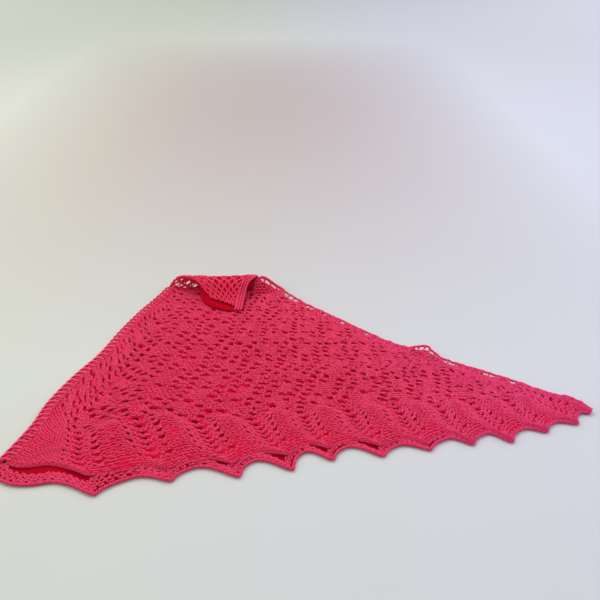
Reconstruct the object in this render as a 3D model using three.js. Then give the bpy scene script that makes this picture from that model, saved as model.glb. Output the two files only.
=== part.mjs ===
// Hand-knitted triangle shawl, folded in half along its centre spine and laid flat.
// Millimetres, +Z up. X runs from the spine's lower end to the wing tip, -Y is the scalloped front.
// The fabric is placed by r, the row (0 at the neck, 1 at the cast-off edge), and by a column
// of the half shawl (0 at the spine, COLUMNS at the wing's top edge).
import * as THREE from "three";

const ROWS = 60; // lace rows with an increase, from the neck to the cast-off edge
const COLUMNS = 72; // columns of the feather border, six to a scallop
const BODY_STEP = 3; // border columns to one column of the body
const FOLD_ROW = 16; // row where the neck corner turns back
const BORDER_ROW = 48; // row where the feather border starts
const CLOTH = 2.0; // thickness of one layer of the knitting
const LAYER_RISE = 3.0; // underside of the upper layer above the table
const SEAM = 0.3; // gap between neighbouring pieces
const SPINE_WIDTH = 9.0; // each side of the spine strip
const BAND_WIDTH = 9.0; // top edge: eyelets and rope
const ROPE = 4.0; // width of the cast-off rope
const UPPER_SLIP = 0.972; // the upper layer's front end has slid back along the spine
const LOWER_TUCK = 9.0; // the lower layer's top edge lies this far inside the upper's
const PINK = 0xcc2f5c;

const WALE = new THREE.Vector2(0.32, -0.947); // way the columns run, towards the front

// Outer line of the fold along the spine, by row.
const SPINE = [
  { r: 0.0, x: -176, y: 352 },
  { r: 0.2, x: -229, y: 243 },
  { r: 0.3, x: -249, y: 186 },
  { r: 0.4, x: -272, y: 132 },
  { r: 0.5, x: -291, y: 76 },
  { r: 0.6, x: -307, y: 17 },
  { r: 0.7, x: -330, y: -36 },
  { r: 0.8, x: -348, y: -92 },
  { r: 0.88, x: -354, y: -136 },
  { r: 1.0, x: -377, y: -211 },
];

// Outer line of the top edge, by row, and how far it stands up from its layer.
const TOP = [
  { r: 0.0, x: -176, y: 352, rise: 0 },
  { r: 0.2, x: -73, y: 243, rise: 1 },
  { r: 0.3, x: -26, y: 181, rise: 1 },
  { r: 0.43, x: 44, y: 119, rise: 0 },
  { r: 0.55, x: 113, y: 59, rise: 0 },
  { r: 0.61, x: 150, y: 33, rise: 2 },
  { r: 0.65, x: 177, y: 27, rise: 9 },
  { r: 0.7, x: 199, y: 7, rise: 1 },
  { r: 0.77, x: 240, y: -16, rise: 0 },
  { r: 0.84, x: 288, y: -43, rise: 0 },
  { r: 0.92, x: 334, y: -74, rise: 1 },
  { r: 1.0, x: 377, y: -104, rise: 0 },
];

// One row to a scallop: its column, where its vein starts at the border's top, its tip and the
// bay after it, for the upper layer and for the lower layer.
const SCALLOPS = [
  { col: 8, rootX: -296, rootY: -142, tipX: -264, tipY: -222, bayX: -203, bayY: -209,
    lowTipX: -246, lowTipY: -250, lowBayX: -205, lowBayY: -222 },
  { col: 14, rootX: -230, rootY: -115, tipX: -171, tipY: -213, bayX: -133, bayY: -196,
    lowTipX: -162, lowTipY: -229, lowBayX: -137, lowBayY: -207 },
  { col: 20, rootX: -153, rootY: -121, tipX: -92, tipY: -205, bayX: -62, bayY: -186,
    lowTipX: -83, lowTipY: -223, lowBayX: -66, lowBayY: -196 },
  { col: 26, rootX: -81, rootY: -117, tipX: -26, tipY: -191, bayX: 1, bayY: -171,
    lowTipX: -20, lowTipY: -212, lowBayX: -4, lowBayY: -181 },
  { col: 32, rootX: -15, rootY: -104, tipX: 23, tipY: -179, bayX: 50, bayY: -164,
    lowTipX: 29, lowTipY: -196, lowBayX: 48, lowBayY: -173 },
  { col: 38, rootX: 46, rootY: -102, tipX: 90, tipY: -176, bayX: 116, bayY: -162,
    lowTipX: 91, lowTipY: -190, lowBayX: 113, lowBayY: -170 },
  { col: 44, rootX: 111, rootY: -96, tipX: 148, tipY: -173, bayX: 177, bayY: -152,
    lowTipX: 150, lowTipY: -179, lowBayX: 176, lowBayY: -158 },
  { col: 50, rootX: 167, rootY: -92, tipX: 203, tipY: -169, bayX: 229, bayY: -147,
    lowTipX: 205, lowTipY: -170, lowBayX: 227, lowBayY: -149 },
  { col: 56, rootX: 213, rootY: -86, tipX: 254, tipY: -165, bayX: 278, bayY: -140,
    lowTipX: 255, lowTipY: -166, lowBayX: 276, lowBayY: -141 },
  { col: 62, rootX: 262, rootY: -80, tipX: 303, tipY: -147, bayX: 322, bayY: -128,
    lowTipX: 304, lowTipY: -148, lowBayX: 321, lowBayY: -129 },
  { col: 68, rootX: 298, rootY: -74, tipX: 347, tipY: -132, bayX: 361, bayY: -110,
    lowTipX: 348, lowTipY: -133, lowBayX: 360, lowBayY: -111 },
];
const FIRST_BAY = { col: 4, x: -323, y: -206, lowX: -308, lowY: -231 };
const LAST_BAY_COL = 70;

// Soft swells of the upper layer: centre, half widths and height.
const SWELLS = [
  { x: 172, y: 24, rx: 24, ry: 20, h: 8.0 },
  { x: -58, y: 182, rx: 36, ry: 16, h: 2.0 },
  { x: -60, y: 45, rx: 120, ry: 26, h: 2.0 },
  { x: 70, y: -30, rx: 110, ry: 24, h: 1.6 },
  { x: -262, y: 20, rx: 36, ry: 90, h: 1.8 },
  { x: -200, y: -112, rx: 70, ry: 22, h: 2.2 },
  { x: 40, y: -104, rx: 120, ry: 20, h: 1.6 },
];
const VEIN_RISE = 2.2; // the veins of the border stand up between the bays

// Path of the turned-back neck corner, from the table over the ridge to its lying end: middle of
// the wall, how far it bulges back at the right, its left and right ends and its thickness.
const TURN = [
  { y: 205.0, z: 2.6, bulge: 0, left: -234, right: -53, wall: 4.6 },
  { y: 211.5, z: 4.4, bulge: 20, left: -232, right: -61, wall: 4.0 },
  { y: 214.5, z: 10.0, bulge: 26, left: -229, right: -68, wall: 3.4 },
  { y: 214.5, z: 18.0, bulge: 20, left: -223, right: -73, wall: 3.0 },
  { y: 210.0, z: 25.5, bulge: 11, left: -214, right: -78, wall: 3.0 },
  { y: 201.5, z: 29.0, bulge: 3, left: -199, right: -87, wall: 3.0 },
  { y: 191.0, z: 26.5, bulge: 0, left: -184, right: -97, wall: 3.0 },
  { y: 181.5, z: 20.5, bulge: 0, left: -175, right: -101, wall: 3.0 },
  { y: 172.0, z: 14.5, bulge: 0, left: -164, right: -103, wall: 3.0 },
  { y: 162.5, z: 11.0, bulge: 0, left: -152, right: -104, wall: 3.0 },
  { y: 153.0, z: 9.6, bulge: 0, left: -136, right: -105, wall: 3.0 },
  { y: 142.0, z: 8.8, bulge: 0, left: -130, right: -105, wall: 3.0 },
  { y: 131.5, z: 8.2, bulge: 0, left: -126, right: -107, wall: 3.0 },
];
const TURN_COLUMNS = 14;
const TURN_ROWS = 10; // the lace ends here, the garter band runs on to its tip
// Garter band along the right end of the turned-back corner, same path.
const NECK_BAND = { width: 12, ridge: 1.2 };

const mix = (a, b, t) => a + (b - a) * t;

// Value of a table's columns at a key, on a smooth curve through its rows.
function along(table, key, at, names) {
  const n = table.length;
  let k = 0;
  while (k < n - 2 && at > table[k + 1][key]) k++;
  const a = table[k], b = table[k + 1], h = b[key] - a[key], t = (at - a[key]) / h;
  const before = table[Math.max(0, k - 1)], after = table[Math.min(n - 1, k + 2)];
  return names.map((name) => {
    const ma = ((b[name] - before[name]) / (b[key] - before[key])) * h;
    const mb = ((after[name] - a[name]) / (after[key] - a[key])) * h;
    return a[name] * (1 - t) ** 2 * (1 + 2 * t) + ma * t * (1 - t) ** 2
      + b[name] * t * t * (3 - 2 * t) - mb * t * t * (1 - t);
  });
}

// A function of one number made straight between the numbers of a list, for seams.
function chord(f, knots) {
  return (at) => {
    let k = 0;
    while (k < knots.length - 2 && at > knots[k + 1]) k++;
    const t = (at - knots[k]) / (knots[k + 1] - knots[k]);
    const a = f(knots[k]), b = f(knots[k + 1]);
    return a.map((v, i) => mix(v, b[i], t));
  };
}

const steps = (from, to, n) => Array.from({ length: n + 1 }, (_, i) => mix(from, to, i / n));

// A boundary line moved sideways, to the left of its way, by a distance.
function beside(line, r, d) {
  const a = line(r - 0.004), b = line(r + 0.004), p = line(r);
  const l = Math.hypot(b[0] - a[0], b[1] - a[1]);
  return [p[0] - (d * (b[1] - a[1])) / l, p[1] + (d * (b[0] - a[0])) / l];
}

const spineLine = (r) => along(SPINE, "r", r, ["x", "y"]);
const topLine = (r) => along(TOP, "r", r, ["x", "y"]);

// The two layers: where their side lines and their front edges run.
const UPPER = {
  under: LAYER_RISE, slip: UPPER_SLIP, tuck: 0,
  tips: ["tipX", "tipY"], bays: ["bayX", "bayY"], first: ["x", "y"],
};
const LOWER = {
  under: 0, slip: 1, tuck: LOWER_TUCK,
  tips: ["lowTipX", "lowTipY"], bays: ["lowBayX", "lowBayY"], first: ["lowX", "lowY"],
};
const leftSide = (layer, r, inside) => beside(spineLine, r * layer.slip, inside);
// Near the wing tip the band narrows and the two layers' top edges meet.
const nearTip = (r) => THREE.MathUtils.smoothstep(r, 0.8, 1);
const bandWidth = (r) => BAND_WIDTH * (1 - 0.45 * nearTip(r));
const rightSide = (layer, r, inside) =>
  beside(topLine, r, -(inside + layer.tuck * (1 - nearTip(r))));
const leftEnd = (layer, r) => leftSide(layer, r, SPINE_WIDTH + SEAM);
const rightEnd = (layer, r) => rightSide(layer, r, bandWidth(r) + SEAM);

// Where the columns meet the border's first row.
function borderStart(layer, col) {
  const r = BORDER_ROW / ROWS, l = leftEnd(layer, r), t = rightEnd(layer, r);
  const table = [
    { col: 0, rootX: l[0], rootY: l[1] }, ...SCALLOPS, { col: COLUMNS, rootX: t[0], rootY: t[1] },
  ];
  return along(table, "col", col, ["rootX", "rootY"]);
}

// Front edge of a layer's fabric, inside its cast-off rope: pointed tips and rounded bays.
function frontEdge(layer, col) {
  const l = leftEnd(layer, 1), t = rightEnd(layer, 1), inside = ROPE + 1.2;
  const at = (row, names) => [row[names[0]], row[names[1]] + inside];
  const marks = [{ col: 0, p: l, tip: 1 }, { col: FIRST_BAY.col, p: at(FIRST_BAY, layer.first) }];
  SCALLOPS.forEach((s, i) => {
    const bayCol = i < SCALLOPS.length - 1 ? s.col + 3 : LAST_BAY_COL;
    marks.push({ col: s.col, p: at(s, layer.tips), tip: 1 }, { col: bayCol, p: at(s, layer.bays) });
  });
  marks.push({ col: COLUMNS, p: t, tip: 1 });
  let k = 0;
  while (k < marks.length - 2 && col > marks[k + 1].col) k++;
  const a = marks[k], b = marks[k + 1], s = (col - a.col) / (b.col - a.col);
  const fromBay = a.tip ? 1 - s : s;
  const eased = mix(fromBay, 1 - Math.cos((fromBay * Math.PI) / 2), 0.75);
  const depth = a.tip ? 1 - eased : eased;
  const dx = b.p[0] - a.p[0], dy = b.p[1] - a.p[1];
  const down = dx * WALE.x + dy * WALE.y;
  return [
    a.p[0] + (dx - down * WALE.x) * s + down * WALE.x * depth,
    a.p[1] + (dy - down * WALE.y) * s + down * WALE.y * depth,
  ];
}

// Plan position of the fabric at a row and a column.
function place(layer, r, col) {
  const rb = BORDER_ROW / ROWS, u = col / COLUMNS;
  if (r <= rb) {
    const l = leftEnd(layer, r), t = rightEnd(layer, r), s = borderStart(layer, col);
    const lb = leftEnd(layer, rb), tb = rightEnd(layer, rb), k = (r / rb) ** 2;
    return [0, 1].map((i) => mix(l[i], t[i], u) + k * (s[i] - mix(lb[i], tb[i], u)));
  }
  const t = (r - rb) / (1 - rb), s = borderStart(layer, col), f = frontEdge(layer, col);
  const l = leftEnd(layer, r), e = rightEnd(layer, r);
  const s0 = borderStart(layer, 0), f0 = frontEdge(layer, 0);
  const s1 = borderStart(layer, COLUMNS), f1 = frontEdge(layer, COLUMNS);
  return [0, 1].map((i) =>
    mix(s[i], f[i], t) + (1 - u) * (l[i] - mix(s0[i], f0[i], t)) + u * (e[i] - mix(s1[i], f1[i], t)));
}

// Height of the upper layer's face above its lowest level.
function relief(r, col, x, y) {
  let h = 0;
  for (const s of SWELLS) h += s.h * Math.exp(-(((x - s.x) / s.rx) ** 2) - ((y - s.y) / s.ry) ** 2);
  const t = Math.min(1, Math.max(0, (r * ROWS - BORDER_ROW) / (ROWS - BORDER_ROW)));
  const vein = 0.5 + 0.5 * Math.cos(((col - 8) / 6) * 2 * Math.PI);
  return h + VEIN_RISE * vein ** 2 * Math.sqrt(t) * (col > 4 ? 1 : 0.4);
}
const topRise = (r) => Math.max(0, along(TOP, "r", r, ["rise"])[0]);

// Upper face of a layer at a row and a column.
function face(layer, r, col) {
  const [x, y] = place(layer, r, col);
  if (layer === LOWER) return [x, y, CLOTH];
  const edge = Math.max(0, (col / COLUMNS - 0.9) / 0.1);
  const side = Math.min(1, col / 4) * Math.min(1, (COLUMNS - col) / 2);
  return [x, y, layer.under + CLOTH + relief(r, col, x, y) * mix(0.35, 1, side) * (1 - edge * 0.3)
    + topRise(r) * edge ** 2 * 0.5];
}

// A closed wall between two grids of points, with an opening in the cells that name one.
function wall(ni, nj, upper, lower, openingAt = () => null) {
  const points = [], faces = [];
  const at = (i, j, low) => ((i * (nj + 1) + j) * 2) + low;
  for (let i = 0; i <= ni; i++)
    for (let j = 0; j <= nj; j++) points.push(upper(i, j), lower(i, j));
  const quad = (a, b, c, d) => faces.push([a, b, c], [a, c, d]);
  const inCell = (i, j, low, s, t) => {
    const c = [at(i, j, low), at(i + 1, j, low), at(i + 1, j + 1, low), at(i, j + 1, low)]
      .map((k) => points[k]);
    return [0, 1, 2].map((k) =>
      mix(mix(c[0][k], c[1][k], s), mix(c[3][k], c[2][k], s), t));
  };
  for (let i = 0; i < ni; i++)
    for (let j = 0; j < nj; j++) {
      const corner = (low) =>
        [at(i, j, low), at(i + 1, j, low), at(i + 1, j + 1, low), at(i, j + 1, low)];
      const top = corner(0), base = corner(1), opening = openingAt(i, j);
      if (!opening) {
        quad(...top);
        quad(...base.reverse());
        continue;
      }
      const inner = [0, 1].map((low) => [0, 1, 2, 3].map((k) => {
        const angle = (k * Math.PI) / 2;
        points.push(inCell(i, j, low, (opening.s ?? 0.5) + opening.a * Math.cos(angle),
          (opening.t ?? 0.5) + opening.b * Math.sin(angle)));
        return points.length - 1;
      }));
      for (let k = 0; k < 4; k++) {
        const next = (k + 1) % 4;
        const beyond = (k + 2) % 4, [t, b] = inner;
        faces.push([top[next], t[next], t[k]], [top[next], top[beyond], t[next]]);
        faces.push([base[next], b[k], b[next]], [base[next], b[next], base[beyond]]);
        quad(inner[0][k], inner[0][next], inner[1][next], inner[1][k]);
      }
    }
  for (let i = 0; i < ni; i++) {
    quad(at(i, 0, 1), at(i + 1, 0, 1), at(i + 1, 0, 0), at(i, 0, 0));
    quad(at(i, nj, 0), at(i + 1, nj, 0), at(i + 1, nj, 1), at(i, nj, 1));
  }
  for (let j = 0; j < nj; j++) {
    quad(at(0, j, 0), at(0, j + 1, 0), at(0, j + 1, 1), at(0, j, 1));
    quad(at(ni, j, 1), at(ni, j + 1, 1), at(ni, j + 1, 0), at(ni, j, 0));
  }
  const p = points.map((q) => new THREE.Vector3(...q));
  const volume = faces.reduce((v, [a, b, c]) => v + p[a].dot(p[b].clone().cross(p[c])), 0);
  const g = new THREE.BufferGeometry();
  g.setAttribute("position", new THREE.Float32BufferAttribute(points.flat(), 3));
  g.setIndex((volume < 0 ? faces.map(([a, b, c]) => [a, c, b]) : faces).flat());
  return g;
}

const shawl = new THREE.Group();
shawl.name = "triangle_shawl";
function add(name, geometry) {
  const material = new THREE.MeshStandardMaterial({ color: PINK, roughness: 0.9 });
  material.name = name + "_yarn";
  const mesh = new THREE.Mesh(geometry, material);
  mesh.name = name;
  shawl.add(mesh);
}
const under = (p, layer) => [p[0], p[1], layer === LOWER ? 0 : p[2] - CLOTH];

// Rows of the body's cells and of the border's, and the body's columns.
const BODY_ROWS = steps(FOLD_ROW, BORDER_ROW, 16);
const BORDER_ROWS = steps(BORDER_ROW, ROWS, 7);
const ALL_ROWS = [...BODY_ROWS, ...BORDER_ROWS.slice(1)];
const BODY_COLS = steps(0, COLUMNS, COLUMNS / BODY_STEP);
const rowBefore = 0.35 / 520; // half a seam gap, as a share of the rows

// Lace body: a wall with the largest opening of every third cell cut through.
function body(layer, rows, cols, openingAt) {
  const row = (j) => rows[j] / ROWS - (j === rows.length - 1 ? rowBefore : 0)
    + (j === 0 ? rowBefore : 0);
  const p = (i, j) => face(layer, row(j), cols[i]);
  return wall(cols.length - 1, rows.length - 1, p, (i, j) => under(p(i, j), layer), openingAt);
}
add("upper_body", body(UPPER, BODY_ROWS, BODY_COLS, (i, j) =>
  (i + 2 * j) % 3 === 0 && !(j < 5 && i > 3 && i < 18)
    ? { a: mix(0.3, 0.17, j / 16), b: 0.21 } : null));
const LOWER_ROWS = steps(FOLD_ROW, BORDER_ROW, 8), LOWER_COLS = steps(0, COLUMNS, 12);
const LOWER_SEAM = [...LOWER_ROWS, (BORDER_ROW + ROWS) / 2, ROWS];
add("lower_body", body(LOWER, LOWER_ROWS, LOWER_COLS));

// Feather border: six columns to a scallop, paired openings beside each vein.
function border(layer, rows, startCols, openingAt) {
  const start = chord((col) => face(layer, rows[0] / ROWS + rowBefore, col), startCols);
  const p = (i, j) => (j === 0 ? start(i) : face(layer, rows[j] / ROWS, i));
  return wall(COLUMNS, rows.length - 1, p, (i, j) => under(p(i, j), layer), openingAt);
}
add("upper_border", border(UPPER, BORDER_ROWS, BODY_COLS, (i, j) => {
  const past = (i + 6 - 8) % 6; // 0 just after a vein, 5 just before it
  return i > 6 && i < 69 && (past === 0 || past === 5) && j % 2 === 1
    ? { a: 0.3, b: 0.13, s: past ? 0.55 : 0.45 } : null;
}));
add("lower_border", border(LOWER, steps(BORDER_ROW, ROWS, 2), LOWER_COLS));

// Cast-off rope round a layer's scalloped edge, parallel to it.
function castOff(layer) {
  const line = steps(0, COLUMNS, COLUMNS).map((col) => face(layer, 1, col));
  const moved = (i, d) => {
    const way = (a, b) => new THREE.Vector2(b[0] - a[0], b[1] - a[1]).normalize();
    const w1 = way(line[Math.max(0, i - 1)], line[Math.max(1, i)]);
    const w2 = way(line[Math.min(i, COLUMNS - 1)], line[Math.min(i + 1, COLUMNS)]);
    const k = d / (1 + w1.dot(w2));
    return [line[i][0] + k * (w1.y + w2.y), line[i][1] - k * (w1.x + w2.x)];
  };
  const lift = layer === LOWER ? [0, 0.7, -0.6] : [0, 1.4, -0.2];
  const across = [SEAM, SEAM + ROPE / 2, SEAM + ROPE];
  const p = (i, j) => [...moved(i, across[j]), line[i][2] + lift[j]];
  const q = (i, j) => [...moved(i, across[j]), layer === LOWER ? 0 : line[i][2] - CLOTH];
  return wall(COLUMNS, 2, p, q);
}
add("upper_cast_off", castOff(UPPER));
add("lower_cast_off", castOff(LOWER));

// Spine fold: one strip, wrapped from the lower layer round to the upper, with eyelets.
const FOLD = [
  { inside: SPINE_WIDTH, z: 0, part: 0 },
  { inside: 3.0, z: 0, part: 0 },
  { inside: 0.0, z: 2.4, part: 0.5 },
  { inside: 3.0, z: LAYER_RISE + CLOTH, part: 1 },
  { inside: SPINE_WIDTH, z: LAYER_RISE + CLOTH, part: 1 },
];
const FOLD_INSIDE = [
  { inside: SPINE_WIDTH, z: CLOTH },
  { inside: 3.4, z: CLOTH },
  { inside: 1.9, z: 2.4 },
  { inside: 3.4, z: LAYER_RISE },
  { inside: SPINE_WIDTH, z: LAYER_RISE },
];
function spineFold() {
  const n = ROWS - FOLD_ROW;
  const point = (profile, i, j) => {
    const s = profile[j], part = FOLD[j].part;
    const line = (k) => {
      const r = k / ROWS + (k === FOLD_ROW ? 5 * rowBefore : 0);
      const slipped = r * mix(1, UPPER_SLIP, part);
      const [x, y] = beside(spineLine, slipped, s.inside);
      const up = j === 4 ? face(UPPER, r, 0)[2] - LAYER_RISE - CLOTH
        : j === 3 ? 0.5 * (face(UPPER, r, 0)[2] - LAYER_RISE - CLOTH) : 0;
      return [x, y, s.z + up];
    };
    return (j === 0 ? chord(line, LOWER_SEAM) : j === 4 ? chord(line, ALL_ROWS) : line)(FOLD_ROW + i);
  };
  return wall(n, 4, (i, j) => point(FOLD, i, j), (i, j) => point(FOLD_INSIDE, i, j), (i, j) =>
    j === 3 || (j === 0 && i > 27 && i % 2 === 0) ? { a: 0.34, b: 0.3, t: j ? 0.42 : 0.58 } : null);
}
add("spine_fold", spineFold());

// Top edge of a layer: an eyelet row inside a thin rope.
function topBand(layer, n, openings) {
  const across = [1, 0.36, 0.18, 0], lift = [0, 0, layer === UPPER ? 0.9 : 0.6, -0.3];
  const rows = layer === UPPER ? ALL_ROWS : LOWER_SEAM;
  const line = (j) => (k) => {
    const r = k / ROWS + (k === FOLD_ROW ? 5 * rowBefore : 0);
    const [x, y] = rightSide(layer, r, across[j] * bandWidth(r));
    const z = j === 0 ? face(layer, r, COLUMNS)[2]
      : layer.under + CLOTH + (layer === UPPER ? topRise(r) : 0);
    return [x, y, z + lift[j]];
  };
  const at = (i, j) => (j === 0 ? chord(line(0), rows) : line(j))(mix(FOLD_ROW, ROWS, i / n));
  return wall(n, 3, at, (i, j) => {
    const p = at(i, j);
    return [p[0], p[1], layer === LOWER ? 0 : p[2] - lift[j] - CLOTH];
  }, (i, j) => (openings && j === 0 ? { a: 0.34, b: 0.3 } : null));
}
add("upper_top_band", topBand(UPPER, ROWS - FOLD_ROW, true));
add("lower_top_band", topBand(LOWER, 22, false));

// Back line of the body, where the turned-back corner starts, by x.
function backLine(x) {
  const line = BODY_COLS.map((col) => place(UPPER, FOLD_ROW / ROWS, col));
  const k = Math.max(1, line.findIndex((p, i) => p[0] > x || i === line.length - 1));
  const t = (x - line[k - 1][0]) / (line[k][0] - line[k - 1][0]);
  return mix(line[k - 1][1], line[k][1], t);
}

// Neck corner, rolled over to the front over both layers.
function turned(columns, rows, from, to, grow, openingAt) {
  const side = (i, j, out) => {
    const row = TURN[j], a = TURN[Math.max(0, j - 1)], b = TURN[Math.min(TURN.length - 1, j + 1)];
    const l = Math.hypot(b.y - a.y, b.z - a.z), share = i / columns;
    const x = mix(from(row), to(row), share);
    const sag = 1.5 * Math.sin(Math.PI * share) * Math.sin((Math.PI * j) / rows);
    const bulge = row.bulge * ((x + 234) / 180) ** 3;
    const half = (row.wall / 2 + (out > 0 && j > 2 ? grow(share) : 0)) * out;
    const ny = j ? -(b.z - a.z) / l : 0, nz = j ? (b.y - a.y) / l : 1;
    const follow = (backLine(x) + SEAM - TURN[0].y) * Math.max(0, 1 - j / 4);
    return [x, row.y + bulge + follow - ny * half, row.z - sag - nz * half];
  };
  return wall(columns, rows, (i, j) => side(i, j, 1), (i, j) => side(i, j, -1), openingAt);
}
add("neck_turnback", turned(TURN_COLUMNS, TURN_ROWS, (s) => s.left,
  (s) => s.right - NECK_BAND.width - 4 * SEAM, () => 0,
  (i, j) => (j > 1 && j < 9 && (i + 2 * j) % 5 === 0 ? { a: 0.3, b: 0.24 } : null)));
add("neck_band", turned(4, TURN.length - 1, (s) => s.right - NECK_BAND.width, (s) => s.right,
  (share) => NECK_BAND.ridge * Math.sin(share * 3 * Math.PI) ** 2));

// The part's origin is the middle of its box, at the table.
const box = new THREE.Box3().setFromObject(shawl);
const middle = box.getCenter(new THREE.Vector3());
shawl.children.forEach((mesh) => mesh.geometry.translate(-middle.x, -middle.y, -box.min.z));

export default shawl;
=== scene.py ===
import math

import bmesh
import bpy
import numpy as np
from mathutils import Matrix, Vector


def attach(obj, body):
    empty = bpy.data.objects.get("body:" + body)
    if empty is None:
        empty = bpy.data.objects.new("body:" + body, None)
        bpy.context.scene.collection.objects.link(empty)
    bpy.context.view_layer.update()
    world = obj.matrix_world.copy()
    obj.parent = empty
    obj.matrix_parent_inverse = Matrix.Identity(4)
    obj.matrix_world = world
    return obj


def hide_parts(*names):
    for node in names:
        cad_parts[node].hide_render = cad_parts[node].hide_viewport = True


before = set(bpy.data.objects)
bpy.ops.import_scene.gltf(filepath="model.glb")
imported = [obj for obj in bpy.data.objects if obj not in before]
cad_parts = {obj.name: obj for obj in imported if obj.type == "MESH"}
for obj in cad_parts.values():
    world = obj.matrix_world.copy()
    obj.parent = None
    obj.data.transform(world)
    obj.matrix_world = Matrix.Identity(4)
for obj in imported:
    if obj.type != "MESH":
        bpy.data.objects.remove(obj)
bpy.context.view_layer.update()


# Lace body, upper layer: one ply of hand-knitted wool, worked from the neck outwards, with eyelets
# on every second row and small solid diamonds left between them. It is knitted in one piece with
# the spine, the top edge and the border.

# Outer line of the spine fold and of the top edge by row, 0 at the neck and 1 at the cast-off
# edge, in millimetres, with how far the top edge stands up.
SPINE = [
    (0.0, -176, 352), (0.2, -229, 243), (0.3, -249, 186), (0.4, -272, 132), (0.5, -291, 76),
    (0.6, -307, 17), (0.7, -330, -36), (0.8, -348, -92), (0.88, -354, -136), (1.0, -377, -211),
]
TOP = [
    (0.0, -176, 352, 0), (0.2, -73, 243, 1), (0.3, -26, 181, 1), (0.43, 44, 119, 0),
    (0.55, 113, 59, 0), (0.61, 150, 33, 2), (0.65, 177, 27, 9), (0.7, 199, 7, 1),
    (0.77, 240, -16, 0), (0.84, 288, -43, 0), (0.92, 334, -74, 1), (0.955, 354.3, -85.5, 5),
    (1.0, 377, -104, 0),
]
# One row to a scallop: column, root of its vein, tip and bay of the upper and the lower layer.
SCALLOPS = [
    (8, -296, -142, -264, -222, -203, -209, -246, -250, -205, -222),
    (14, -230, -115, -171, -213, -133, -196, -162, -229, -137, -207),
    (20, -153, -121, -92, -205, -62, -186, -83, -223, -66, -196),
    (26, -81, -117, -26, -191, 1, -171, -20, -212, -4, -181),
    (32, -15, -104, 23, -179, 50, -164, 29, -196, 48, -173),
    (38, 46, -102, 90, -176, 116, -162, 91, -190, 113, -170),
    (44, 111, -96, 148, -173, 177, -152, 150, -179, 176, -158),
    (50, 167, -92, 203, -169, 229, -147, 205, -170, 227, -149),
    (56, 213, -86, 254, -165, 278, -140, 255, -166, 276, -141),
    (62, 262, -80, 303, -147, 322, -128, 304, -148, 321, -129),
    (68, 298, -74, 347, -132, 361, -110, 348, -133, 360, -111),
]
FIRST_BAY = (4, -323, -206, -308, -231)  # column, upper layer, lower layer
LAST_BAY_COL = 70
# Swells of the laid cloth: place of the middle, half length, half width and height.
SWELLS = [
    (172, 24, 24, 20, 8.0), (-58, 182, 36, 16, 2.0), (-60, 45, 120, 26, 2.0),
    (70, -30, 110, 24, 1.6), (-262, 20, 36, 90, 1.8), (-200, -112, 70, 22, 2.2),
    (40, -104, 120, 20, 1.6),
]
COLUMNS = 72
FIRST_VEIN, VEIN_GAP = 8, 6  # in columns
LACE_ROWS = 60
START = 0.8  # row where the border starts
FOLD = 16 / LACE_ROWS  # row where the neck corner turns back
CLOTH = 2.0  # thickness of a layer
LAYER_RISE = 3.0  # height of the upper layer's underside
SEAM, ROPE = 0.3, 5.2  # gap between two stretches, room for the cast-off edge
SPINE_WIDTH, BAND_WIDTH = 9.0, 9.0
UPPER_SLIP = 0.972  # how far the upper half's rows reach along the spine, next to the lower's
LOWER_TUCK = 9.0  # of the lower half's top edge under the upper's
SWING = 40.0  # of the border's rows between a vein and the middle of a scallop
BOW = -11.0  # of the veins sideways
SPINE_LAG = 16.0  # of the border's rows towards the front, beside the spine
WALE = np.array([0.32, -0.947])  # way of the border's veins
MIDDLE = np.array([1.3753, -9.6479, 0.0])  # of the shawl's box, in the tables' millimetres


def mix(a, b, t):
    """Value a share t of the way from a to b."""
    return a + (b - a) * t


def smooth(x, lo, hi):
    """Eased step from 0 at lo to 1 at hi."""
    t = np.clip((x - lo) / (hi - lo), 0, 1)
    return t * t * (3 - 2 * t)


def along(table, at):
    """Values of a table's columns at a key, on a smooth curve through its rows."""
    table = np.asarray(table, float)
    key, val = table[:, 0], table[:, 1:]
    at = np.asarray(at, float)
    k = np.clip(np.searchsorted(key, at) - 1, 0, len(key) - 2)
    before, after = np.maximum(k - 1, 0), np.minimum(k + 2, len(key) - 1)
    h = (key[k + 1] - key[k])[..., None]
    t = (at - key[k])[..., None] / h
    ma = (val[k + 1] - val[before]) / (key[k + 1] - key[before])[..., None] * h
    mb = (val[after] - val[k]) / (key[after] - key[k])[..., None] * h
    return (val[k] * (1 - t) ** 2 * (1 + 2 * t) + ma * t * (1 - t) ** 2
            + val[k + 1] * t * t * (3 - 2 * t) - mb * t * t * (1 - t))


def beside(table, r, d):
    """A boundary line moved to the left of its way by a distance."""
    a, b, p = (along(table, r + e)[..., :2] for e in (-0.004, 0.004, 0.0))
    way = (b - a) / np.linalg.norm(b - a, axis=-1, keepdims=True)
    return p + np.stack([-way[..., 1], way[..., 0]], -1) * np.asarray(d)[..., None]


def vein_turn(col):
    """Angle of a column between two veins, a full turn from one to the next."""
    return (col - FIRST_VEIN) / VEIN_GAP * 2 * np.pi


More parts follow.
